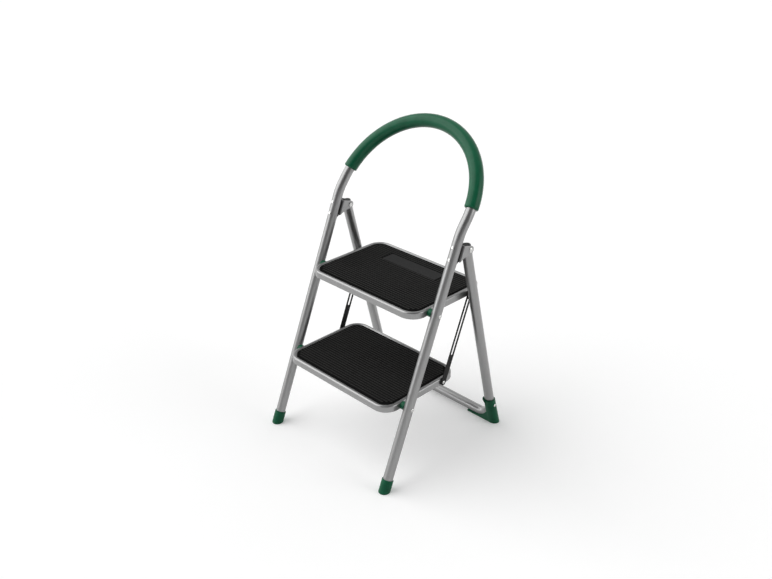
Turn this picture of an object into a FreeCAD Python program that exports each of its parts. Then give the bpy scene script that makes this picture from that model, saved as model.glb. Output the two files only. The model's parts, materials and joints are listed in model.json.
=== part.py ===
"""Folding two-step ladder with a hoop handrail, built as separate pieces in one frame.

The ladder stands open on the floor at z = 0, with its plane of symmetry at x = 0. A person climbs it from
the -Y side, so the front legs are towards -Y and the rear legs towards +Y. Lengths are millimetres, angles
degrees. Right-hand pieces (+X) are modelled, and left-hand ones are their mirror images.
"""
import os
from math import cos, degrees, radians, sin, sqrt, tan

from FreeCAD import Placement, Rotation, Vector
import Part

# Overall sizes
footprint_depth = 453.0        # front of the front feet to back of the rear feet, on the floor
leg_half_spacing = 206.5       # plane of symmetry to the axis of each leg
front_lean = 22.2              # front legs lean back from upright
rear_lean = 14.7               # rear legs lean forward from upright
first_tread_height = 215.0     # floor to the rim of the bottom step
tread_rise = 220.0             # rim to rim

# Tubes
tube_diameter = 25.0
tube_wall = 1.2
rear_cross_gap = 2.5           # floor to the rear cross tube
rear_bend_radius = 45.0
front_tube_lift = 10.0         # floor to the front tube's cut end, along the leg

# Hoop handrail
knee_height = 611.0            # where the front legs bend back into the hoop
knee_bend_radius = 130.0
hoop_lean = 37.8               # the hoop leans back from upright
hoop_straight = 34.0           # knee to the start of the half circle
grip_wall = 5.0
grip_start_angle = 7.5         # grip ends, above the half circle's diameter
grip_end_round = 4.0

# Fits
pin_clearance = 0.05           # radial, round every rivet and pin
seat_clearance = 0.15          # between a moulded piece and the tube that it sits on
side_play = 0.2                # between flat pieces that turn on each other
tube_play = 0.3                # between a tube and a flat piece that it swings past
overcut = 1.0                  # how far a cutting shape runs past what it cuts
tolerance = 0.01               # lengths closer than this count as equal
parallel = 0.9                 # cosine above which two directions count as parallel

# Rear hinge
hinge_offset = 40.0            # hinge axis behind the front leg's axis
bracket_sheet = 2.0
bracket_nose_radius = 10.0
bracket_top = 7.0              # hinge to the upper end of the web, along the front leg
bracket_ear_foot = 33.0        # hinge to the lower end of each ear, along the front leg
bracket_elbow_below = 23.5     # corner in the lower edge of each ear, below the hinge
bracket_elbow_offset = 21.0    # and behind the front leg's axis
bracket_bend_radius = 3.0
bracket_rivet_spacing = 30.0
bracket_rivet_below_hinge = 3.4
bracket_rivet_diameter = 5.0
bracket_tongue_width = 15.0    # rounded foot of the web, round the lower rivet
hinge_rivet_diameter = 8.0
rear_tube_above_hinge = 8.0

# Steps
step_gap = 8.5                 # skirt to the legs beside it
step_front_overhang = 56.0     # step's front edge ahead of its pivot
step_rear_overhang = 58.0      # step's rear edge behind its link rivet
step_corner_radius = 40.0
skirt_height = 18.0
tray_sheet = 1.2
tray_edge_radius = 4.5
tray_hem = 6.0
rim_width = 11.0
rim_crest = 6.0                # step's edge to where the rim starts to slope down to the mat
mat_recess = 2.6
pivot_below_rim = 11.0
pivot_rivet_diameter = 8.0
bush_diameter = 20.0
bush_wrap = 3.0                # how far the bush's saddle reaches round the leg

# Mats
mat_base = 1.5
mat_edge_gap = 0.4
rib_height = 0.8
rib_pitch = 8.4
rib_foot = 6.4
rib_crest = 5.2
mat_border = 4.0               # plain strip along the front and rear edges
panel_width = 186.0
panel_depth = 41.0
panel_from_rear = 43.0         # step's rear edge to the panel
panel_corner_radius = 3.0

# Link bars and their guide pins
link_width = 17.5
link_sheet = 1.6
link_spacer_length = 2.6
link_spacer_diameter = 13.5
link_rivet_diameter = 6.0
link_clip = 5.5                # top link rivet up to the bar's end, which is clipped level
guide_below_link = 12.0        # top link rivet to the guide pin, when open
slot_spare = 33.0              # slot left beyond the guide pin's travel
guide_pin_diameter = 6.5
guide_pin_head = 9.5
guide_pin_head_height = 1.6
guide_pin_chamfer = 0.5
slot_clearance = 0.3           # guide pin to the slot's edges

# Feet
foot_wall = 2.3
front_foot_height = 33.0
front_foot_edge_round = 1.5
rear_foot_height = 81.0
rear_foot_toe = 20.0           # leg axis to the boot's outer side, on the floor
rear_foot_reach = 77.0         # leg axis to the wedge's inner end
rear_foot_cradle = 5.5         # how far the wedge's trough reaches up round the cross tube
rear_foot_throat = 60.0        # leg axis to where the wedge's upper edge starts to rise
rear_foot_throat_radius = 60.0
rear_foot_throat_turn = 58.0   # how far the upper edge turns up towards the boot
rear_foot_web = 28.6           # wedge's thickness
rear_foot_lip_wall = 1.8
rear_foot_lip_rise = 13.0      # flared lip on the boot's inner side, below its top
rear_foot_lip_flare = 3.5      # how far it stands off the boot
rear_foot_lip_sweep = 70.0     # how far it goes round the leg
rear_foot_lip_turn = 45.0      # from straight inwards to the middle of the lip
rear_foot_rivet_height = 64.0
foot_rivet_diameter = 5.0
inner_head_share = 0.85        # place of the foot rivet's closed head, as a share of the bore's radius
plug_depth = 2.6
plug_recess = 0.4              # plug's face below the tube's end

# Rivet heads
hinge_head_diameter = 13.0
hinge_head_height = 2.2
pivot_head_diameter = 10.0
pivot_head_height = 2.0
small_head_diameter = 8.5
small_head_height = 1.4
closed_head_share = 0.85       # closed head's diameter, as a share of the domed head's
dome_rim_share = 0.4           # dome's upright rim, as a share of its height
dome_crown_share = 0.6         # dome's flat crown, as a share of its diameter

# Sizes that follow from the ones above
tube_radius = tube_diameter / 2
bore_radius = tube_radius - tube_wall
foot_radius = tube_radius + foot_wall
grip_radius = tube_radius + grip_wall
leg_inner_face = leg_half_spacing - tube_radius
skirt_face = leg_inner_face - step_gap
rear_cross_height = tube_radius + rear_cross_gap
fold_angle = front_lean + rear_lean

X_AXIS = Vector(1, 0, 0)
FRONT_UP = Vector(0, sin(radians(front_lean)), cos(radians(front_lean)))
FRONT_BACK = Vector(0, cos(radians(front_lean)), -sin(radians(front_lean)))
REAR_UP = Vector(0, -sin(radians(rear_lean)), cos(radians(rear_lean)))
HOOP_UP = Vector(0, sin(radians(hoop_lean)), cos(radians(hoop_lean)))

FRONT_FLOOR = Vector(0, foot_radius / cos(radians(front_lean)) - footprint_depth / 2, 0)
REAR_FLOOR = Vector(0, footprint_depth / 2 - foot_radius / cos(radians(rear_lean)), 0)

# The hinge axis lies on the rear leg's axis, hinge_offset behind the front leg's axis
floor_spread = REAR_FLOOR.y - FRONT_FLOOR.y
rear_leg_length = (floor_spread * cos(radians(front_lean)) - hinge_offset) / sin(radians(fold_angle))
HINGE = REAR_FLOOR + REAR_UP * rear_leg_length
hinge_along_leg = (HINGE - FRONT_FLOOR).dot(FRONT_UP)


def on_front_leg(height):
    """Point of the front leg's axis at a height, in the plane of symmetry."""
    return FRONT_FLOOR + FRONT_UP * (height / cos(radians(front_lean)))


def up_rear_leg(height):
    """Distance along the rear leg's axis from the floor to a height."""
    return height / cos(radians(rear_lean))


# The boot is lofted past its top, which is then cut level
boot_top = up_rear_leg(rear_foot_height)
boot_length = boot_top + foot_radius

KNEE = on_front_leg(knee_height)
HOOP_CENTRE = KNEE + HOOP_UP * hoop_straight
TREADS = {"top": first_tread_height + tread_rise, "bottom": first_tread_height}
PIVOTS = {name: on_front_leg(tread - pivot_below_rim) for name, tread in TREADS.items()}

# The link bar's centre line crosses the rear leg's axis at the guide pin, guide_below_link from the top link
# rivet. That fixes how far the link rivets are behind the step pivots.
top_pivot_along_leg = (PIVOTS["top"] - FRONT_FLOOR).dot(FRONT_UP)
leg_slope = 1 / tan(radians(fold_angle))
reach_needed = guide_below_link + hinge_along_leg - top_pivot_along_leg + hinge_offset * leg_slope
link_reach = reach_needed / (sin(radians(front_lean)) + cos(radians(front_lean)) * leg_slope)
LINKS = {name: pivot + Vector(0, link_reach, 0) for name, pivot in PIVOTS.items()}
GUIDE = LINKS["top"] - FRONT_UP * guide_below_link

# Folding brings the rear legs parallel to the front ones, and the pin runs down the bar meanwhile
folded_link_along_leg = top_pivot_along_leg + sqrt(link_reach ** 2 - hinge_offset ** 2)
folded_guide_along_leg = hinge_along_leg - (HINGE - GUIDE).Length
guide_travel = folded_link_along_leg - folded_guide_along_leg - guide_below_link

# Positions across the ladder, from the skirt outwards to the leg
spacer_face = skirt_face + link_spacer_length
bar_inner_face = spacer_face + side_play
bar_outer_face = bar_inner_face + link_sheet

parts = {}


def at(point, x):
    """The same point of the side view, moved out to x."""
    return Vector(x, point.y, point.z)


def mirrored(shape):
    return shape.mirror(Vector(0, 0, 0), X_AXIS)


def add_pair(name, shape):
    """One node for each side."""
    parts["right_" + name] = shape
    parts["left_" + name] = mirrored(shape)


def add_group(name, shapes):
    """One node that holds the same fastener on both sides."""
    parts[name] = Part.Compound(shapes + [mirrored(shape) for shape in shapes])


def disc(centre, normal, radius):
    return Part.Face(Part.Wire(Part.makeCircle(radius, centre, normal)))


def rod(start, end, radius):
    return Part.makeCylinder(radius, (end - start).Length, start, end - start)


def across(point, x_start, x_end, radius):
    """Round bar along X."""
    return rod(at(point, x_start), at(point, x_end), radius)


def bent_rod(points, bend_radii, radius):
    """Round rod along straight runs between the points, with a bend at each inner point."""
    pieces = []
    start = points[0]
    for corner, after, bend_radius in zip(points[1:-1], points[2:], bend_radii):
        along = (corner - start).normalize()
        onward = (after - corner).normalize()
        turn = along.getAngle(onward)
        setback = bend_radius * tan(turn / 2)
        bend_start = corner - along * setback
        if (bend_start - start).Length > tolerance:
            pieces.append(rod(start, bend_start, radius))
        bend_axis = along.cross(onward).normalize()
        bend_centre = bend_start + bend_axis.cross(along) * bend_radius
        pieces.append(disc(bend_start, along, radius).revolve(bend_centre, bend_axis, degrees(turn)))
        start = corner + onward * setback
    pieces.append(rod(start, points[-1], radius))
    return pieces[0].fuse(pieces[1:]).removeSplitter()


def extend(points, length):
    """The same route, run on past both ends."""
    first = points[0] + (points[0] - points[1]).normalize() * length
    last = points[-1] + (points[-1] - points[-2]).normalize() * length
    return [first] + points[1:-1] + [last]


def bent_tube(points, bend_radii):
    outside = bent_rod(points, bend_radii, tube_radius)
    return outside.cut(bent_rod(extend(points, overcut), bend_radii, bore_radius))


def turned(profile, base, direction):
    """Solid of revolution: the profile's points are (radius, height) along the direction from the base."""
    corners = [Vector(radius, 0, height) for radius, height in profile]
    outline = Part.makePolygon(corners + corners[:1])
    solid = Part.Face(outline).revolve(Vector(0, 0, 0), Vector(0, 0, 1), 360)
    solid.Placement = Placement(base, Rotation(Vector(0, 0, 1), direction))
    return solid


def rivet(start, end, shank_diameter, head_diameter, head_height):
    """Rivet with its domed head at the end point and its flat closed head at the start point."""
    shank = shank_diameter / 2
    head = head_diameter / 2
    length = (end - start).Length
    closed = head * closed_head_share
    crown = head * dome_crown_share
    rim_top = length + head_height * dome_rim_share
    top = length + head_height
    closed_head = [(0, -head_height), (closed, -head_height), (closed, 0)]
    dome = [(head, length), (head, rim_top), (crown, top), (0, top)]
    return turned(closed_head + [(shank, 0), (shank, length)] + dome, start, end - start)


def rounded_block(half_width, y_front, y_rear, corner, z_low, z_high):
    """Upright block with rounded corners in plan, centred on x = 0."""
    corner_point = Vector(-half_width, y_front, z_low)
    block = Part.makeBox(2 * half_width, y_rear - y_front, z_high - z_low, corner_point)
    upright = [edge for edge in block.Edges if abs(edge.tangentAt(edge.FirstParameter).z) > parallel]
    return block.makeFillet(corner, upright)


def lower_outline(block):
    low = block.BoundBox.ZMin
    sole = next(face for face in block.Faces if face.BoundBox.ZMax < low + tolerance)
    return sole.OuterWire


def edges_at_height(shape, z):
    level = [edge for edge in shape.Edges if edge.BoundBox.ZLength < tolerance]
    return [edge for edge in level if abs(edge.BoundBox.ZMin - z) < tolerance]


def slot_outline(top, bottom, radius, x_start, x_end):
    """Round-ended bar or slot in the side view, between two end centres, from x_start to x_end."""
    along = (top - bottom).normalize()
    side = X_AXIS.cross(along) * radius
    lift = along * radius
    arcs = [
        Part.LineSegment(bottom + side, top + side),
        Part.Arc(top + side, top + lift, top - side),
        Part.LineSegment(top - side, bottom - side),
        Part.Arc(bottom - side, bottom - lift, bottom + side),
    ]
    face = Part.Face(Part.Wire([arc.toShape() for arc in arcs]))
    face.translate(X_AXIS * x_start)
    return face.extrude(X_AXIS * (x_end - x_start))


def above_floor(shape):
    size = 4 * footprint_depth
    below = Part.makeBox(size, size, size, Vector(-size / 2, -size / 2, -size))
    return shape.cut(below)


def front_route():
    """Route of the front tube from one foot to the other, over the hoop."""
    side = [FRONT_FLOOR + FRONT_UP * front_tube_lift, KNEE, HOOP_CENTRE + HOOP_UP * leg_half_spacing]
    left = [at(point, -leg_half_spacing) for point in side]
    right = [at(point, leg_half_spacing) for point in reversed(side)]
    return left + right, [knee_bend_radius, leg_half_spacing, leg_half_spacing, knee_bend_radius]


def rear_route():
    """Route of the rear tube from one hinge down, along the floor and up to the other hinge."""
    top = HINGE + REAR_UP * rear_tube_above_hinge
    corner = REAR_FLOOR + REAR_UP * up_rear_leg(rear_cross_height)
    points = [at(top, -leg_half_spacing), at(corner, -leg_half_spacing)]
    points += [at(corner, leg_half_spacing), at(top, leg_half_spacing)]
    return points, [rear_bend_radius, rear_bend_radius]


def bracket_rivet_points():
    upper = hinge_along_leg - bracket_rivet_below_hinge
    return [FRONT_FLOOR + FRONT_UP * (upper - step * bracket_rivet_spacing) for step in (0, 1)]


def foot_rivet_point():
    return REAR_FLOOR + REAR_UP * up_rear_leg(rear_foot_rivet_height)


def make_front_tube():
    tube = bent_tube(*front_route())
    pivot_hole = pivot_rivet_diameter / 2 + pin_clearance
    bracket_hole = bracket_rivet_diameter / 2 + pin_clearance
    reach = leg_half_spacing + tube_diameter
    holes = [across(pivot, -reach, reach, pivot_hole) for pivot in PIVOTS.values()]
    for point in bracket_rivet_points():
        for x in (-leg_half_spacing, leg_half_spacing):
            start = at(point, x) - FRONT_BACK * tube_diameter
            end = at(point, x) + FRONT_BACK * tube_diameter
            holes.append(rod(start, end, bracket_hole))
    parts["front_tube"] = tube.cut(holes)


def make_hand_grip():
    """Sleeve round the hoop, with rolled ends."""
    ring_axis = X_AXIS.cross(HOOP_UP)
    start_angle = radians(grip_start_angle)
    spoke = X_AXIS * cos(start_angle) + HOOP_UP * sin(start_angle)
    tangent = HOOP_UP * cos(start_angle) - X_AXIS * sin(start_angle)
    start = HOOP_CENTRE + spoke * leg_half_spacing
    sweep = 180 - 2 * grip_start_angle
    outside = disc(start, tangent, grip_radius).revolve(HOOP_CENTRE, ring_axis, sweep)
    end_circles = [edge for edge in outside.Edges if edge.Length < 8 * grip_radius]
    outside = outside.makeFillet(grip_end_round, end_circles)
    bore = disc(start, tangent, tube_radius + seat_clearance).revolve(HOOP_CENTRE, ring_axis, sweep)
    parts["hand_grip"] = outside.cut(bore)


def make_front_feet():
    """Caps on the front legs, cut flat where they stand."""
    axis_foot = at(FRONT_FLOOR, leg_half_spacing)
    cap = rod(axis_foot - FRONT_UP * foot_radius, axis_foot + FRONT_UP * front_foot_height, foot_radius)
    cap = above_floor(cap)
    cap = cap.makeFillet(front_foot_edge_round, [edge for edge in cap.Edges if edge.Length > 2 * foot_radius])
    socket_floor = axis_foot + FRONT_UP * front_tube_lift
    socket = rod(socket_floor, axis_foot + FRONT_UP * (2 * front_foot_height), tube_radius + seat_clearance)
    add_pair("front_foot", cap.cut(socket))


def bracket_spot(above_hinge, offset):
    """Point of the side view, measured from the hinge along the front leg and from that leg's axis."""
    return FRONT_FLOOR + FRONT_UP * (hinge_along_leg + above_hinge) + FRONT_BACK * offset


def make_hinge_brackets():
    """Pressed channels: the web is riveted behind the front leg, and the rear leg turns between the ears."""
    web_front = tube_radius + seat_clearance
    web_back = web_front + bracket_sheet
    nose_tip = bracket_spot(0, hinge_offset + bracket_nose_radius)
    nose_top = bracket_spot(bracket_nose_radius, hinge_offset)
    nose_low = bracket_spot(-bracket_nose_radius, hinge_offset)
    top = bracket_spot(bracket_top, web_front)
    foot = bracket_spot(-bracket_ear_foot, web_front)
    elbow = bracket_spot(-bracket_elbow_below, bracket_elbow_offset)
    ear_edges = [
        Part.LineSegment(top, nose_top),
        Part.Arc(nose_top, nose_tip, nose_low),
        Part.LineSegment(nose_low, elbow),
        Part.LineSegment(elbow, foot),
        Part.LineSegment(foot, top),
    ]
    ear = Part.Face(Part.Wire([edge.toShape() for edge in ear_edges]))
    half_gap = tube_radius + tube_play
    half_width = half_gap + bracket_sheet
    ear.translate(X_AXIS * (leg_half_spacing - half_width))
    channel = ear.extrude(X_AXIS * (2 * half_width))
    web_corners = []
    for edge in channel.Edges:
        offset = (edge.CenterOfMass - FRONT_FLOOR).dot(FRONT_BACK)
        along_leg = abs(edge.tangentAt(edge.FirstParameter).dot(FRONT_UP))
        if abs(offset - web_front) < tolerance and along_leg > parallel:
            web_corners.append(edge)
    channel = channel.makeFillet(bracket_bend_radius, web_corners)

    # Space between the ears, a block in the front leg's own directions
    inside_corner = at(bracket_spot(-2 * bracket_ear_foot, web_back), leg_half_spacing - half_gap)
    inside = Part.makeBox(2 * half_gap, 2 * hinge_offset, 4 * bracket_ear_foot)
    inside.Placement = Placement(inside_corner, Rotation(X_AXIS, -front_lean))

    # Rounded foot of the web, round the lower rivet
    lower_rivet = at(bracket_rivet_points()[-1], leg_half_spacing)
    tongue_half = bracket_tongue_width / 2
    tongue = rod(lower_rivet + FRONT_BACK * web_front, lower_rivet + FRONT_BACK * web_back, tongue_half)
    strip_corner = lower_rivet + FRONT_BACK * web_front - X_AXIS * tongue_half
    strip = Part.makeBox(bracket_tongue_width, bracket_sheet, bracket_rivet_spacing / 2)
    strip.Placement = Placement(strip_corner, Rotation(X_AXIS, -front_lean))

    bracket = channel.cut(inside).fuse([tongue, strip]).removeSplitter()
    reach = 2 * half_width
    hinge_hole = hinge_rivet_diameter / 2 + pin_clearance
    rivet_hole = bracket_rivet_diameter / 2 + pin_clearance
    holes = [across(HINGE, leg_half_spacing - reach, leg_half_spacing + reach, hinge_hole)]
    rivets = []
    for point in bracket_rivet_points():
        middle = at(point, leg_half_spacing)
        back = middle + FRONT_BACK * web_back
        front = middle - FRONT_BACK * tube_radius
        holes.append(rod(middle, middle + FRONT_BACK * hinge_offset, rivet_hole))
        rivets.append(rivet(back, front, bracket_rivet_diameter, small_head_diameter, small_head_height))
    add_pair("hinge_bracket", bracket.cut(holes))
    add_group("bracket_rivets", rivets)

    hinge_start = at(HINGE, leg_half_spacing - half_width)
    hinge_end = at(HINGE, leg_half_spacing + half_width)
    hinge_rivet = rivet(hinge_start, hinge_end, hinge_rivet_diameter, hinge_head_diameter, hinge_head_height)
    add_group("rear_hinge_rivets", [hinge_rivet])


def make_rear_tube():
    tube = bent_tube(*rear_route())
    reach = leg_half_spacing + tube_diameter
    hinge_hole = across(HINGE, -reach, reach, hinge_rivet_diameter / 2 + pin_clearance)
    rivet_hole = across(foot_rivet_point(), leg_half_spacing, reach, foot_rivet_diameter / 2 + pin_clearance)
    parts["rear_tube"] = tube.cut([hinge_hole, rivet_hole, mirrored(rivet_hole)])


def make_rear_tube_plugs():
    """Plugs inside the top ends of the rear legs."""
    end = at(HINGE + REAR_UP * rear_tube_above_hinge, leg_half_spacing)
    face = end - REAR_UP * plug_recess
    add_pair("rear_tube_plug", rod(face - REAR_UP * plug_depth, face, bore_radius - seat_clearance))


def beside_rear_leg(x, up):
    """Point at x across the ladder and up along the rear leg from the floor."""
    return at(REAR_FLOOR + REAR_UP * up, x)


def rear_foot_boot():
    """Boot round the leg, wider at the sole, with a level top."""
    ring_centre = beside_rear_leg(leg_half_spacing, boot_length)
    top_ring = Part.Wire(Part.makeCircle(foot_radius, ring_centre, REAR_UP))
    sole_half = (rear_foot_toe + foot_radius) / 2
    sole_ring = Part.Wire(Part.Ellipse(Vector(0, 0, 0), sole_half, foot_radius).toShape())
    sole_middle = leg_half_spacing + rear_foot_toe - sole_half
    sole_ring.Placement = Placement(beside_rear_leg(sole_middle, 0), Rotation(X_AXIS, rear_lean))
    boot = Part.makeLoft([sole_ring, top_ring], True)
    boot = boot.fuse(Part.Face(sole_ring).extrude(REAR_UP * -foot_radius))
    size = 4 * foot_radius
    level = beside_rear_leg(leg_half_spacing, boot_top) - Vector(size / 2, size / 2, 0)
    return boot.cut(Part.makeBox(size, size, size, level))


def rear_foot_wedge():
    """Wedge whose upper edge runs beside the cross tube, then rises in an arc to the boot."""
    cross_up = up_rear_leg(rear_cross_height)
    trough_up = cross_up - tube_radius + rear_foot_cradle
    throat_x = leg_half_spacing - rear_foot_throat

    def throat_up(angle):
        return trough_up + rear_foot_throat_radius * (1 - cos(angle))

    def on_arc(angle):
        return beside_rear_leg(throat_x + rear_foot_throat_radius * sin(angle), throat_up(angle))

    inner_end = leg_half_spacing - rear_foot_reach
    turn = radians(rear_foot_throat_turn)
    trough_end = beside_rear_leg(inner_end, trough_up)
    toe = beside_rear_leg(inner_end, -foot_radius)
    heel = beside_rear_leg(leg_half_spacing, -foot_radius)
    shoulder = beside_rear_leg(leg_half_spacing, throat_up(turn))
    edges = [
        Part.LineSegment(trough_end, on_arc(0)),
        Part.Arc(on_arc(0), on_arc(turn / 2), on_arc(turn)),
        Part.LineSegment(on_arc(turn), shoulder),
        Part.LineSegment(shoulder, heel),
        Part.LineSegment(heel, toe),
        Part.LineSegment(toe, trough_end),
    ]
    forward = X_AXIS.cross(REAR_UP)
    wedge = Part.Face(Part.Wire([edge.toShape() for edge in edges]))
    wedge.translate(forward * (-rear_foot_web / 2))
    return wedge.extrude(forward * rear_foot_web)


def rear_foot_lip():
    """Flared lip on the boot's inner side, turned about the leg's axis."""
    low = boot_top - rear_foot_lip_rise
    rim = foot_radius + rear_foot_lip_flare
    corners = [
        (tube_radius, low),
        (foot_radius, low),
        (rim, boot_top),
        (rim - rear_foot_lip_wall, boot_top),
        (tube_radius, low + rear_foot_lip_wall),
    ]
    outward = Rotation(REAR_UP, rear_foot_lip_turn - rear_foot_lip_sweep / 2).multVec(-X_AXIS)
    axis_foot = beside_rear_leg(leg_half_spacing, 0)
    outline = [axis_foot + outward * radius + REAR_UP * up for radius, up in corners]
    section = Part.Face(Part.makePolygon(outline + outline[:1]))
    return section.revolve(axis_foot, REAR_UP, rear_foot_lip_sweep)


def make_rear_feet():
    """Boots round the lower ends of the rear legs, each with a wedge under the bend."""
    foot = rear_foot_boot().fuse([rear_foot_wedge(), rear_foot_lip()])
    foot = above_floor(foot.removeSplitter())
    points, radii = rear_route()
    foot = foot.cut(bent_rod(points, radii, tube_radius + seat_clearance))
    rivet_point = foot_rivet_point()
    hole_radius = foot_rivet_diameter / 2 + pin_clearance
    rivet_hole = across(rivet_point, leg_half_spacing, 2 * leg_half_spacing, hole_radius)
    add_pair("rear_foot", foot.cut(rivet_hole))

    # The boot's outer side slopes, and the rivet's head touches it at the head's lower edge
    side_slope = (rear_foot_toe - foot_radius) / boot_length
    head_low = (rivet_point - REAR_FLOOR).Length - small_head_diameter / 2
    outer = leg_half_spacing + rear_foot_toe - side_slope * head_low
    inner = leg_half_spacing + bore_radius * inner_head_share
    ends = at(rivet_point, inner), at(rivet_point, outer)
    add_group("rear_foot_rivets", [rivet(*ends, foot_rivet_diameter, small_head_diameter, small_head_height)])


def step_edges(name):
    """Front and rear edges of a step."""
    return PIVOTS[name].y - step_front_overhang, LINKS[name].y + step_rear_overhang


def make_tray(name):
    """Pressed tray: rounded edge, skirt with a hem, and a dish for the mat inside a raised rim."""
    rim = TREADS[name]
    front, rear = step_edges(name)
    low = rim - skirt_height

    def block(inset, z_low, z_high):
        corner = step_corner_radius - inset
        return rounded_block(skirt_face - inset, front + inset, rear - inset, corner, z_low, z_high)

    outside = block(0, low, rim)
    outside = outside.makeFillet(tray_edge_radius, edges_at_height(outside, rim))
    hollow = block(tray_sheet, low + tray_sheet, rim - tray_sheet)
    hollow = hollow.makeFillet(tray_edge_radius - tray_sheet, edges_at_height(hollow, rim - tray_sheet))

    # The dish's sloping side runs on past the rim, and its underside is one sheet lower
    floor_z = rim - mat_recess
    rim_slope = (rim_width - rim_crest) / mat_recess
    mouth_z = rim + overcut
    dish_floor = lower_outline(block(rim_width, floor_z, rim))
    dish_mouth = lower_outline(block(rim_crest - rim_slope * overcut, mouth_z, mouth_z + overcut))
    dish = Part.makeLoft([dish_floor, dish_mouth], True, True)
    hollow = hollow.cut(dish.translated(Vector(0, 0, -tray_sheet)))

    hem_gap = block(tray_sheet + tray_hem, low - overcut, low + 2 * tray_sheet)
    reach = skirt_face + overcut
    pivot_hole = across(PIVOTS[name], -reach, reach, pivot_rivet_diameter / 2 + pin_clearance)
    link_hole = across(LINKS[name], -reach, reach, link_rivet_diameter / 2 + pin_clearance)
    parts[name + "_tray"] = outside.cut([hollow, dish, hem_gap, pivot_hole, link_hole])


def make_mat(name):
    """Rubber mat with ribs across the step; the top one has a smooth panel near its rear edge."""
    front, rear = step_edges(name)
    inset = rim_width + mat_edge_gap
    y_front = front + inset
    y_rear = rear - inset
    base_z = TREADS[name] - mat_recess
    rib_z = base_z + mat_base
    crest_z = rib_z + rib_height
    span = y_rear - y_front - 2 * mat_border
    count = int(span / rib_pitch)
    first = (y_front + y_rear - (count - 1) * rib_pitch) / 2
    outline = [Vector(0, y_front, base_z), Vector(0, y_front, rib_z)]
    for number in range(count):
        middle = first + number * rib_pitch
        outline.append(Vector(0, middle - rib_foot / 2, rib_z))
        outline.append(Vector(0, middle - rib_crest / 2, crest_z))
        outline.append(Vector(0, middle + rib_crest / 2, crest_z))
        outline.append(Vector(0, middle + rib_foot / 2, rib_z))
    outline += [Vector(0, y_rear, rib_z), Vector(0, y_rear, base_z)]
    half = skirt_face - inset
    profile = Part.Face(Part.makePolygon(outline + outline[:1]))
    profile.translate(X_AXIS * -half)
    ribbed = profile.extrude(X_AXIS * (2 * half))
    mat = ribbed.common(rounded_block(half, y_front, y_rear, step_corner_radius - inset, base_z, crest_z))
    if name == "top":
        panel_rear = rear - panel_from_rear
        panel_front = panel_rear - panel_depth
        panel = rounded_block(panel_width / 2, panel_front, panel_rear, panel_corner_radius, base_z, crest_z)
        mat = mat.fuse(panel).removeSplitter()
    parts[name + "_mat"] = mat


def make_step_pivots(name):
    """Bushes between the skirt and the front legs, and the rivets that the step turns on."""
    pivot = PIVOTS[name]
    hole = pivot_rivet_diameter / 2 + pin_clearance
    start = skirt_face + side_play
    bush = across(pivot, start, leg_inner_face + bush_wrap, bush_diameter / 2)
    leg = rod(at(FRONT_FLOOR, leg_half_spacing), at(KNEE, leg_half_spacing), tube_radius + seat_clearance)
    bush = bush.cut([leg, across(pivot, 0, leg_half_spacing, hole)])
    add_pair(name + "_step_bush", bush)
    inner = at(pivot, skirt_face - tray_sheet - side_play)
    outer = at(pivot, leg_half_spacing + tube_radius)
    pivot_rivet = rivet(inner, outer, pivot_rivet_diameter, pivot_head_diameter, pivot_head_height)
    add_group(name + "_step_pivot_rivets", [pivot_rivet])


def make_link_mounts(name):
    """Spacers and rivets that carry the link bars on the step's skirt."""
    link = LINKS[name]
    spacer = across(link, skirt_face, spacer_face, link_spacer_diameter / 2)
    spacer = spacer.cut(across(link, 0, leg_half_spacing, link_rivet_diameter / 2 + pin_clearance))
    add_pair(name + "_link_spacer", spacer)
    inner = at(link, skirt_face - tray_sheet)
    outer = at(link, bar_outer_face + side_play)
    link_rivet = rivet(inner, outer, link_rivet_diameter, small_head_diameter, small_head_height)
    add_group(name + "_link_rivets", [link_rivet])


def make_link_bars():
    """Slotted bars joining the two steps, parallel to the front legs, clipped below the top step's rim."""
    bar = slot_outline(LINKS["top"], LINKS["bottom"], link_width / 2, bar_inner_face, bar_outer_face)
    slot_bottom = GUIDE - FRONT_UP * (guide_travel + slot_spare)
    slot_radius = guide_pin_diameter / 2 + slot_clearance
    slot = slot_outline(GUIDE, slot_bottom, slot_radius, bar_inner_face - overcut, bar_outer_face + overcut)
    hole = link_rivet_diameter / 2 + pin_clearance
    holes = [across(link, 0, leg_half_spacing, hole) for link in LINKS.values()]
    clip_corner = at(LINKS["top"], bar_inner_face - overcut) + Vector(0, -link_width, link_clip)
    clip = Part.makeBox(link_sheet + 2 * overcut, 2 * link_width, link_width, clip_corner)
    add_pair("link_bar", bar.cut([slot, clip] + holes))


def make_guide_pins():
    """Headed pins that run in the slots and stand against the rear legs."""
    pin = guide_pin_diameter / 2
    head = guide_pin_head / 2
    head_end = bar_inner_face - side_play
    head_start = head_end - guide_pin_head_height
    collar_start = bar_outer_face + side_play
    collar_end = leg_inner_face - tube_play
    profile = [
        (0, head_start),
        (head - guide_pin_chamfer, head_start),
        (head, head_start + guide_pin_chamfer),
        (head, head_end),
        (pin, head_end),
        (pin, collar_start),
        (head, collar_start),
        (head, collar_end),
        (0, collar_end),
    ]
    add_pair("guide_pin", turned(profile, GUIDE, X_AXIS))


def main():
    make_front_tube()
    make_hand_grip()
    make_front_feet()
    make_hinge_brackets()
    make_rear_tube()
    make_rear_tube_plugs()
    make_rear_feet()
    for name in TREADS:
        make_tray(name)
        make_mat(name)
        make_step_pivots(name)
        make_link_mounts(name)
    make_link_bars()
    make_guide_pins()

    os.makedirs("parts", exist_ok=True)
    for name, shape in parts.items():
        if not shape.isValid():
            raise RuntimeError(name + " is not a valid solid")
        shape.exportStep("parts/" + name + ".step")


main()
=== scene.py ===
"""Looks of the folding two-step ladder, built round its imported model.

Lengths are metres and angles degrees. The frame is the model's own: +Z up, the climbing side towards -Y, and
the plane of symmetry at x = 0.
"""

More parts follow.
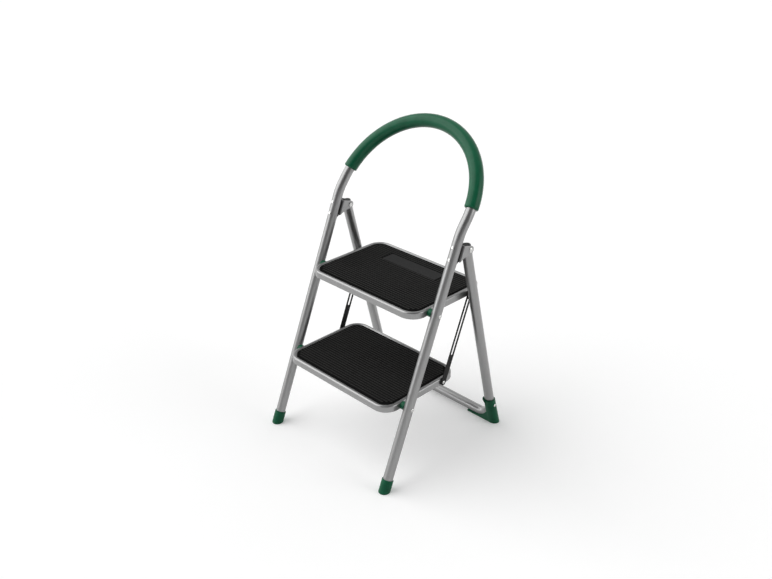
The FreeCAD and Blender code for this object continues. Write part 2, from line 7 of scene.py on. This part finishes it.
import json
from math import cos, pi, radians, sin, tau

import bmesh
import bpy
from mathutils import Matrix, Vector


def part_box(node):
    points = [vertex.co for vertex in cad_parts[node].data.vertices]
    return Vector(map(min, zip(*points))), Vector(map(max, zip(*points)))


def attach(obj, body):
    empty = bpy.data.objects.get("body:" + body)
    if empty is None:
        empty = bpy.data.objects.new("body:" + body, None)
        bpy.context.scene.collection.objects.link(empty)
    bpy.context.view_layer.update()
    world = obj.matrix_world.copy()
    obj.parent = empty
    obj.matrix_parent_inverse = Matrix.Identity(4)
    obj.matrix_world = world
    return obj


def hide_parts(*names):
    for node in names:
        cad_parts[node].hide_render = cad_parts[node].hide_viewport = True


# Camera, fitted to the photograph
CAMERA_PLACE = (1.3992, -1.4040, 1.4148)
CAMERA_YAW = 44.84
CAMERA_PITCH = 27.01
FOCAL_PIXELS = 876.28
IMAGE_WIDTH = 772
SENSOR_WIDTH = 36.0

# Hoop and its grip
HOOP_RADIUS = 0.2065
HOOP_LEAN = 37.8
GRIP_RADIUS = 0.0175
GRIP_BORE = 0.0127
GRIP_START = 7.5
GRIP_END_ROUND = 0.004
GRIP_RINGS = 150
GRIP_SIDES = 48

# Mats
MAT_CORNER = 0.0286
MAT_BASE = 0.0015
STUD_PITCH_X = 0.0081
STUD_PITCH_Y = 0.0084
STUD_LENGTH = 0.0075
STUD_WIDTH = 0.0060
STUD_SLOPE = 0.0005
STUD_END_SLOPE = 0.00015
MAT_BORDER = 0.0015
PANEL_WIDTH = 0.186
PANEL_DEPTH = 0.041
PANEL_FROM_REAR = 0.0316
PANEL_CORNER = 0.003
CORNER_STEPS = 10
# Material places on a mat; the groove material is the rubber darkened as painted shade
SHADED_GROOVE, CREST, PANEL = range(3)

# Part of a noise's range that a tint or roughness spreads over
NOISE_SPAN = (0.3, 0.7)

# Colours, linear
WHITE = (1.0, 1.0, 1.0)
SILVER = (0.32, 0.32, 0.32)
GREEN = (0.005, 0.098, 0.045)
BLACK = (0.010, 0.010, 0.010)
# Groove black is the mat rubber darkened as painted shade in the grooves between the studs; the crests and the
# panel keep the rubber's own tone
SHADED_GROOVE_BLACK = (0.009, 0.009, 0.009)
CREST_BLACK = (0.028, 0.028, 0.027)
PANEL_BLACK = (0.030, 0.030, 0.030)
ZINC = (0.60, 0.60, 0.59)
FLOOR = (0.86, 0.86, 0.86)
FLOOR_GLOW = (0.20, 0.20, 0.20)
FLOOR_BOUNCE = (0.35, 0.35, 0.35)

# Studio
FLOOR_HALF = 20.0
KEY_TOWARDS = (-0.60, -0.52, 0.61)
KEY_STRENGTH = 2.0
KEY_SPREAD = 74
RIM_TOWARDS = (0.83, 0.43, 0.37)
RIM_STRENGTH = 0.85
RIM_SPREAD = 40
DARK_SIDE = (0.87, -0.49, 0.0)
WORLD_SIDE_RANGE = (-0.5, 0.75)
WORLD_SIDE_LEVELS = (1.1, 0.17)
WORLD_RISE_RANGE = (0.12, 0.55)
WORLD_RISE_LEVELS = (1.0, 0.62)
HORIZON_RANGE = (0.055, 0.085)
HORIZON_LEVELS = (1.0, 0.0)

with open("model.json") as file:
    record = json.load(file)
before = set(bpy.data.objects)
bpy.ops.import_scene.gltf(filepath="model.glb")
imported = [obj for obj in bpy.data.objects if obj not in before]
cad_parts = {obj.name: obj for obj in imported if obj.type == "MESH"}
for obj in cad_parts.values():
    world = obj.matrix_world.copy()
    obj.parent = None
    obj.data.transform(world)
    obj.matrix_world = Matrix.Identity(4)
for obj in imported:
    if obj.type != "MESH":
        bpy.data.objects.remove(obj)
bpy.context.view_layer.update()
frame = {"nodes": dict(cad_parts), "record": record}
nodes = frame["nodes"]


class Shader:
    """A material with a principled surface, and short ways to add nodes to it."""

    def __init__(self, name, colour, roughness, metallic=0.0, **sockets):
        self.material = bpy.data.materials.new(name)
        self.material.use_nodes = True
        self.tree = self.material.node_tree
        self.surface = self.tree.nodes["Principled BSDF"]
        self.surface.inputs["Base Color"].default_value = (*colour, 1)
        self.surface.inputs["Roughness"].default_value = roughness
        self.surface.inputs["Metallic"].default_value = metallic
        for socket, value in sockets.items():
            self.surface.inputs[socket.replace("_", " ")].default_value = value
        self.place = self.tree.nodes.new("ShaderNodeTexCoord").outputs["Object"]

    def link(self, output, target):
        self.tree.links.new(output, target)

    def noise(self, size, detail):
        """Noise whose features are about size across."""
        texture = self.tree.nodes.new("ShaderNodeTexNoise")
        texture.inputs["Scale"].default_value = 1 / size
        texture.inputs["Detail"].default_value = detail
        self.link(self.place, texture.inputs["Vector"])
        return texture.outputs["Fac"]

    def total(self, value, *others):
        """Sum of node outputs."""
        for other in others:
            add = self.tree.nodes.new("ShaderNodeMath")
            self.link(value, add.inputs[0])
            self.link(other, add.inputs[1])
            value = add.outputs["Value"]
        return value

    def tint(self, value, dark, light):
        """Base colour that varies between two shades."""
        ramp = self.tree.nodes.new("ShaderNodeValToRGB")
        stops = zip(ramp.color_ramp.elements, NOISE_SPAN, (dark, light))
        for stop, position, colour in stops:
            stop.position = position
            stop.color = (*colour, 1)
        self.link(value, ramp.inputs["Fac"])
        self.link(ramp.outputs["Color"], self.surface.inputs["Base Color"])

    def rough(self, value, low, high):
        """Roughness that varies over a range."""
        remap = self.tree.nodes.new("ShaderNodeMapRange")
        remap.inputs["From Min"].default_value, remap.inputs["From Max"].default_value = NOISE_SPAN
        remap.inputs["To Min"].default_value = low
        remap.inputs["To Max"].default_value = high
        self.link(value, remap.inputs["Value"])
        self.link(remap.outputs["Result"], self.surface.inputs["Roughness"])

    def bump(self, value, height):
        """Fine relief of the height given."""
        relief = self.tree.nodes.new("ShaderNodeBump")
        relief.inputs["Strength"].default_value = 1.0
        relief.inputs["Distance"].default_value = height
        self.link(value, relief.inputs["Height"])
        self.link(relief.outputs["Normal"], self.surface.inputs["Normal"])


def shade(colour, factor):
    """Darker or lighter shade of a colour."""
    return tuple(channel * factor for channel in colour)


def silver_paint():
    """Silver metallic paint on steel: fine flake, and a slight orange peel."""
    paint = Shader("silver_paint", SILVER, roughness=0.31, metallic=0.8)
    paint.tint(paint.noise(size=0.0012, detail=6.0), shade(SILVER, 0.94), shade(SILVER, 1.05))
    paint.rough(paint.noise(size=0.03, detail=3.0), low=0.285, high=0.34)
    paint.bump(paint.noise(size=0.0016, detail=2.0), height=0.00002)
    return paint.material


def black_paint():
    """Black stoved paint, a little scuffed."""
    paint = Shader("black_paint", BLACK, roughness=0.4, Specular_IOR_Level=0.12)
    paint.tint(paint.noise(size=0.004, detail=8.0), shade(BLACK, 0.7), shade(BLACK, 1.6))
    paint.rough(paint.noise(size=0.008, detail=6.0), low=0.32, high=0.5)
    paint.bump(paint.noise(size=0.0014, detail=2.0), height=0.00003)
    return paint.material


def zinc_plate():
    """Bright plating on the rivets, with fine turning marks."""
    plate = Shader("zinc_plate", ZINC, roughness=0.24, metallic=1.0)
    plate.tint(plate.noise(size=0.002, detail=5.0), shade(ZINC, 0.86), ZINC)
    plate.rough(plate.noise(size=0.0006, detail=3.0), low=0.18, high=0.26)
    return plate.material


def green_moulding():
    """Moulded green plastic with a fine spark-eroded grain."""
    moulding = Shader("green_moulding", GREEN, roughness=0.42, Specular_IOR_Level=0.18)
    moulding.tint(moulding.noise(size=0.012, detail=4.0), shade(GREEN, 0.86), shade(GREEN, 1.12))
    moulding.rough(moulding.noise(size=0.005, detail=4.0), low=0.36, high=0.5)
    moulding.bump(moulding.noise(size=0.0007, detail=2.0), height=0.00004)
    return moulding.material


def green_foam():
    """Closed foam sleeve with a soft skin and fine pores."""
    foam = Shader("green_foam", GREEN, roughness=0.31, Specular_IOR_Level=0.22)
    foam.tint(foam.noise(size=0.02, detail=5.0), GREEN, shade(GREEN, 1.25))
    foam.rough(foam.noise(size=0.0015, detail=4.0), low=0.285, high=0.34)
    foam.bump(foam.noise(size=0.0008, detail=3.0), height=0.00004)
    return foam.material


def black_rubber(name, colour, specular):
    """Matt rubber, with a faint grain."""
    rubber = Shader(name, colour, roughness=0.6, Specular_IOR_Level=specular)
    rubber.tint(rubber.noise(size=0.005, detail=8.0), shade(colour, 0.92), shade(colour, 1.1))
    rubber.rough(rubber.noise(size=0.003, detail=4.0), low=0.5, high=0.7)
    rubber.bump(rubber.noise(size=0.0009, detail=3.0), height=0.00006)
    return rubber.material


def black_plastic():
    """Moulded black plastic of the plugs and spacers."""
    plastic = Shader("black_plastic", BLACK, roughness=0.45)
    plastic.tint(plastic.noise(size=0.006, detail=5.0), shade(BLACK, 0.8), shade(BLACK, 1.3))
    plastic.rough(plastic.noise(size=0.003, detail=4.0), low=0.38, high=0.52)
    plastic.bump(plastic.noise(size=0.0008, detail=2.0), height=0.00003)
    return plastic.material


def new_piece(name, mesh, materials, body, slot, *replaced):
    """Object that rides on a body, in place of CAD nodes."""
    piece = bpy.data.objects.new(name, mesh)
    bpy.context.scene.collection.objects.link(piece)
    for material in materials:
        mesh.materials.append(material)
    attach(piece, body)
    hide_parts(*replaced)
    return piece


def grip_stations():
    """Angle round the hoop and radius of each ring of the sleeve.

    They run over one rolled end, along, over the other end, and back in the bore.
    """
    start = radians(GRIP_START)
    middle = GRIP_RADIUS - GRIP_END_ROUND
    rolled = [(start, GRIP_BORE)]
    for step in range(CORNER_STEPS + 1):
        angle = step / CORNER_STEPS * pi / 2
        along = GRIP_END_ROUND * (1 - cos(angle))
        rolled.append((start + along / HOOP_RADIUS, middle + GRIP_END_ROUND * sin(angle)))
    first = rolled[-1][0]
    steps = range(1, GRIP_RINGS)
    outside = [(first + (pi - 2 * first) * step / GRIP_RINGS, GRIP_RADIUS) for step in steps]
    bore = [(start + (pi - 2 * start) * step / GRIP_RINGS, GRIP_BORE) for step in reversed(steps)]
    return rolled + outside + [(pi - angle, radius) for angle, radius in reversed(rolled)] + bore


def make_grip(material):
    """Sleeve swept round the hoop, rolled over at both ends."""
    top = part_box("hand_grip")[1]
    lean = radians(HOOP_LEAN)
    hoop_up = Vector((0, sin(lean), cos(lean)))
    across = Vector((1, 0, 0))
    side = across.cross(hoop_up)
    centre = Vector((0, top[1] - GRIP_RADIUS, top[2] - GRIP_RADIUS)) - hoop_up * HOOP_RADIUS

    builder = bmesh.new()
    rings = []
    for angle, radius in grip_stations():
        spoke = across * cos(angle) + hoop_up * sin(angle)
        ring = []
        for corner in range(GRIP_SIDES):
            turn = corner / GRIP_SIDES * tau
            place = centre + spoke * (HOOP_RADIUS + radius * cos(turn)) + side * (radius * sin(turn))
            ring.append(builder.verts.new(place))
        rings.append(ring)
    for one, other in zip(rings, rings[1:] + rings[:1]):
        for corner in range(GRIP_SIDES):
            following = (corner + 1) % GRIP_SIDES
            builder.faces.new((one[corner], one[following], other[following], other[corner]))
    bmesh.ops.recalc_face_normals(builder, faces=builder.faces)
    mesh = bpy.data.meshes.new("grip_sleeve")
    builder.to_mesh(mesh)
    builder.free()
    mesh.shade_smooth()
    grip = new_piece("grip_sleeve", mesh, [material], "front_frame", "green_grip", "hand_grip")


def rounded_outline(x_low, x_high, y_low, y_high, corner):
    """Corner points of a rectangle with round corners, anticlockwise."""
    centres = [
        (x_high - corner, y_high - corner, 0),
        (x_low + corner, y_high - corner, 90),
        (x_low + corner, y_low + corner, 180),
        (x_high - corner, y_low + corner, 270),
    ]
    points = []
    for x, y, first in centres:
        for step in range(CORNER_STEPS + 1):
            angle = radians(first + 90 * step / CORNER_STEPS)
            points.append((x + corner * cos(angle), y + corner * sin(angle)))
    return points


def add_slab(builder, low_outline, high_outline, z_low, z_high, top_material):
    """Closed slab between two outlines with the same number of points, with its own material on top."""
    low = [builder.verts.new((x, y, z_low)) for x, y in low_outline]
    high = [builder.verts.new((x, y, z_high)) for x, y in high_outline]
    builder.faces.new(list(reversed(low)))
    builder.faces.new(high).material_index = top_material
    count = len(low)
    for index in range(count):
        following = (index + 1) % count
        builder.faces.new((low[index], low[following], high[following], high[index]))


def inside_rounded(x, y, box, corner):
    """Whether a point lies inside a rectangle with round corners."""
    x_low, x_high, y_low, y_high = box
    over_x = max(x_low + corner - x, x - x_high + corner, 0)
    over_y = max(y_low + corner - y, y - y_high + corner, 0)
    return over_x * over_x + over_y * over_y <= corner * corner


def inset(box, margin):
    """Rectangle smaller by a margin on each side."""
    x_low, x_high, y_low, y_high = box
    return x_low + margin, x_high - margin, y_low + margin, y_high - margin


def make_mat(name, body, materials):
    """Mat with rows of low studs; the top one keeps a smooth panel near its rear edge.

    The materials are for the grooves (darker than the crests, as painted shade), the crests of the studs and the
    panel.
    """
    low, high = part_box(name + "_mat")
    box = (low[0], high[0], low[1], high[1])
    stud_low = low[2] + MAT_BASE
    builder = bmesh.new()
    outline = rounded_outline(*box, MAT_CORNER)
    add_slab(builder, outline, outline, low[2], stud_low, SHADED_GROOVE)

    field = inset(box, MAT_BORDER)
    field_corner = MAT_CORNER - MAT_BORDER
    panel_rear = box[3] - PANEL_FROM_REAR
    panel = (-PANEL_WIDTH / 2, PANEL_WIDTH / 2, panel_rear - PANEL_DEPTH, panel_rear)
    if name == "top":
        panel_low = rounded_outline(*panel, PANEL_CORNER)
        panel_high = rounded_outline(*inset(panel, STUD_SLOPE), PANEL_CORNER - STUD_SLOPE)
        add_slab(builder, panel_low, panel_high, stud_low, high[2], PANEL)

    columns = int((field[1] - field[0]) / STUD_PITCH_X)
    rows = int((field[3] - field[2]) / STUD_PITCH_Y)
    middle_y = (box[2] + box[3]) / 2
    half_x = STUD_LENGTH / 2
    half_y = STUD_WIDTH / 2
    crest_x = 1 - STUD_END_SLOPE / half_x
    crest_y = 1 - STUD_SLOPE / half_y
    for row in range(rows):
        y = middle_y + (row - (rows - 1) / 2) * STUD_PITCH_Y
        for column in range(columns):
            x = (column - (columns - 1) / 2) * STUD_PITCH_X
            corners = [(x + sx * half_x, y + sy * half_y) for sx, sy in ((-1, -1), (1, -1), (1, 1), (-1, 1))]
            if not all(inside_rounded(*corner, field, field_corner) for corner in corners):
                continue
            clear = abs(x) > PANEL_WIDTH / 2 + half_x or not panel[2] - half_y < y < panel[3] + half_y
            if name == "top" and not clear:
                continue
            crest = [(x + (cx - x) * crest_x, y + (cy - y) * crest_y) for cx, cy in corners]
            add_slab(builder, corners, crest, stud_low, high[2], CREST)
    mesh = bpy.data.meshes.new(name + "_mat_studs")
    builder.to_mesh(mesh)
    builder.free()
    new_piece(name + "_mat_studs", mesh, materials, body, "black_rubber", name + "_mat")


def dress_nodes(materials):
    """Gives every CAD node that stays in view its material."""
    for name, node in nodes.items():
        slot = next(part["material_slot"] for part in frame["record"]["subparts"] if part["node"] == name)
        node.data.materials.clear()
        node.data.materials.append(materials[slot])


def add_sun(name, towards, strength, spread):
    """Wide soft lamp, far off in the direction given."""
    lamp = bpy.data.lights.new(name, "SUN")
    lamp.energy = strength
    lamp.angle = radians(spread)
    light = bpy.data.objects.new(name, lamp)
    light.rotation_euler = Vector(towards).to_track_quat("Z", "Y").to_euler()
    bpy.context.scene.collection.objects.link(light)


def make_floor():
    """Pale matt floor under the whole view: white where it is seen, and with less bounced light on the object."""
    mesh = bpy.data.meshes.new("floor")
    builder = bmesh.new()
    bmesh.ops.create_grid(builder, x_segments=1, y_segments=1, size=FLOOR_HALF)
    builder.to_mesh(mesh)
    builder.free()
    pale = Shader("pale_floor", FLOOR, roughness=0.9, Specular_IOR_Level=0.0)
    rays = pale.tree.nodes.new("ShaderNodeLightPath").outputs
    seen = pale.total(rays["Is Camera Ray"], rays["Is Glossy Ray"], rays["Is Transmission Ray"])
    pale.tint(seen, FLOOR_BOUNCE, FLOOR)
    pale.surface.inputs["Emission Color"].default_value = (*FLOOR_GLOW, 1)
    pale.link(seen, pale.surface.inputs["Emission Strength"])
    mesh.materials.append(pale.material)
    floor = bpy.data.objects.new("floor", mesh)
    bpy.context.scene.collection.objects.link(floor)


def make_world():
    """Pale studio, darker towards one side and overhead, so that the tubes show a dark and a light side.

    It is white where it meets the floor.
    """
    world = bpy.data.worlds.new("studio")
    bpy.context.scene.world = world
    world.use_nodes = True
    tree = world.node_tree

    def level(value, start_end, levels):
        """Smooth change from one level to another over a range."""
        remap = tree.nodes.new("ShaderNodeMapRange")
        remap.interpolation_type = "SMOOTHSTEP"
        remap.inputs["From Min"].default_value, remap.inputs["From Max"].default_value = start_end
        remap.inputs["To Min"].default_value, remap.inputs["To Max"].default_value = levels
        tree.links.new(value, remap.inputs["Value"])
        return remap.outputs["Result"]

    def join(operation, one, other):
        math = tree.nodes.new("ShaderNodeMath")
        math.operation = operation
        tree.links.new(one, math.inputs[0])
        tree.links.new(other, math.inputs[1])
        return math.outputs["Value"]

    direction = tree.nodes.new("ShaderNodeTexCoord").outputs["Generated"]
    side = tree.nodes.new("ShaderNodeVectorMath")
    side.operation = "DOT_PRODUCT"
    side.inputs[1].default_value = DARK_SIDE
    tree.links.new(direction, side.inputs[0])
    split = tree.nodes.new("ShaderNodeSeparateXYZ")
    tree.links.new(direction, split.inputs["Vector"])
    rise = split.outputs["Z"]
    across = level(side.outputs["Value"], WORLD_SIDE_RANGE, WORLD_SIDE_LEVELS)
    studio = join("MULTIPLY", across, level(rise, WORLD_RISE_RANGE, WORLD_RISE_LEVELS))
    strength = join("MAXIMUM", studio, level(rise, HORIZON_RANGE, HORIZON_LEVELS))
    tree.links.new(strength, tree.nodes["Background"].inputs["Strength"])
    tree.nodes["Background"].inputs["Color"].default_value = (*WHITE, 1)


def make_camera():
    """Camera at the photograph's viewing angle."""
    lens = bpy.data.cameras.new("camera")
    lens.sensor_width = SENSOR_WIDTH
    lens.lens = FOCAL_PIXELS / IMAGE_WIDTH * SENSOR_WIDTH
    camera = bpy.data.objects.new("camera", lens)
    camera.location = CAMERA_PLACE
    camera.rotation_euler = (radians(90 - CAMERA_PITCH), 0, radians(CAMERA_YAW))
    bpy.context.scene.collection.objects.link(camera)
    bpy.context.scene.camera = camera


def main():
    mat_rubbers = [
        # Grooves darker than the crests: painted shade in the recesses
        black_rubber("groove_rubber_painted_shade", SHADED_GROOVE_BLACK, specular=0.0),
        black_rubber("crest_rubber", CREST_BLACK, specular=0.02),
        black_rubber("panel_rubber", PANEL_BLACK, specular=0.03),
    ]
    foam = green_foam()
    moulding = green_moulding()
    dress_nodes({
        "silver_steel": silver_paint(),
        "black_steel": black_paint(),
        "rivet_steel": zinc_plate(),
        "green_grip": foam,
        "green_foot": moulding,
        "green_bush": moulding,
        # The CAD rubber takes the groove rubber, darkened as painted shade
        "black_rubber": mat_rubbers[SHADED_GROOVE],
        "black_plastic": black_plastic(),
    })
    make_grip(foam)
    make_mat("top", "top_step", mat_rubbers)
    make_mat("bottom", "bottom_step", mat_rubbers)
    make_floor()
    make_world()
    add_sun("key", KEY_TOWARDS, KEY_STRENGTH, KEY_SPREAD)
    add_sun("rim", RIM_TOWARDS, RIM_STRENGTH, RIM_SPREAD)
    make_camera()
    bpy.context.scene.view_settings.view_transform = "Standard"


main()
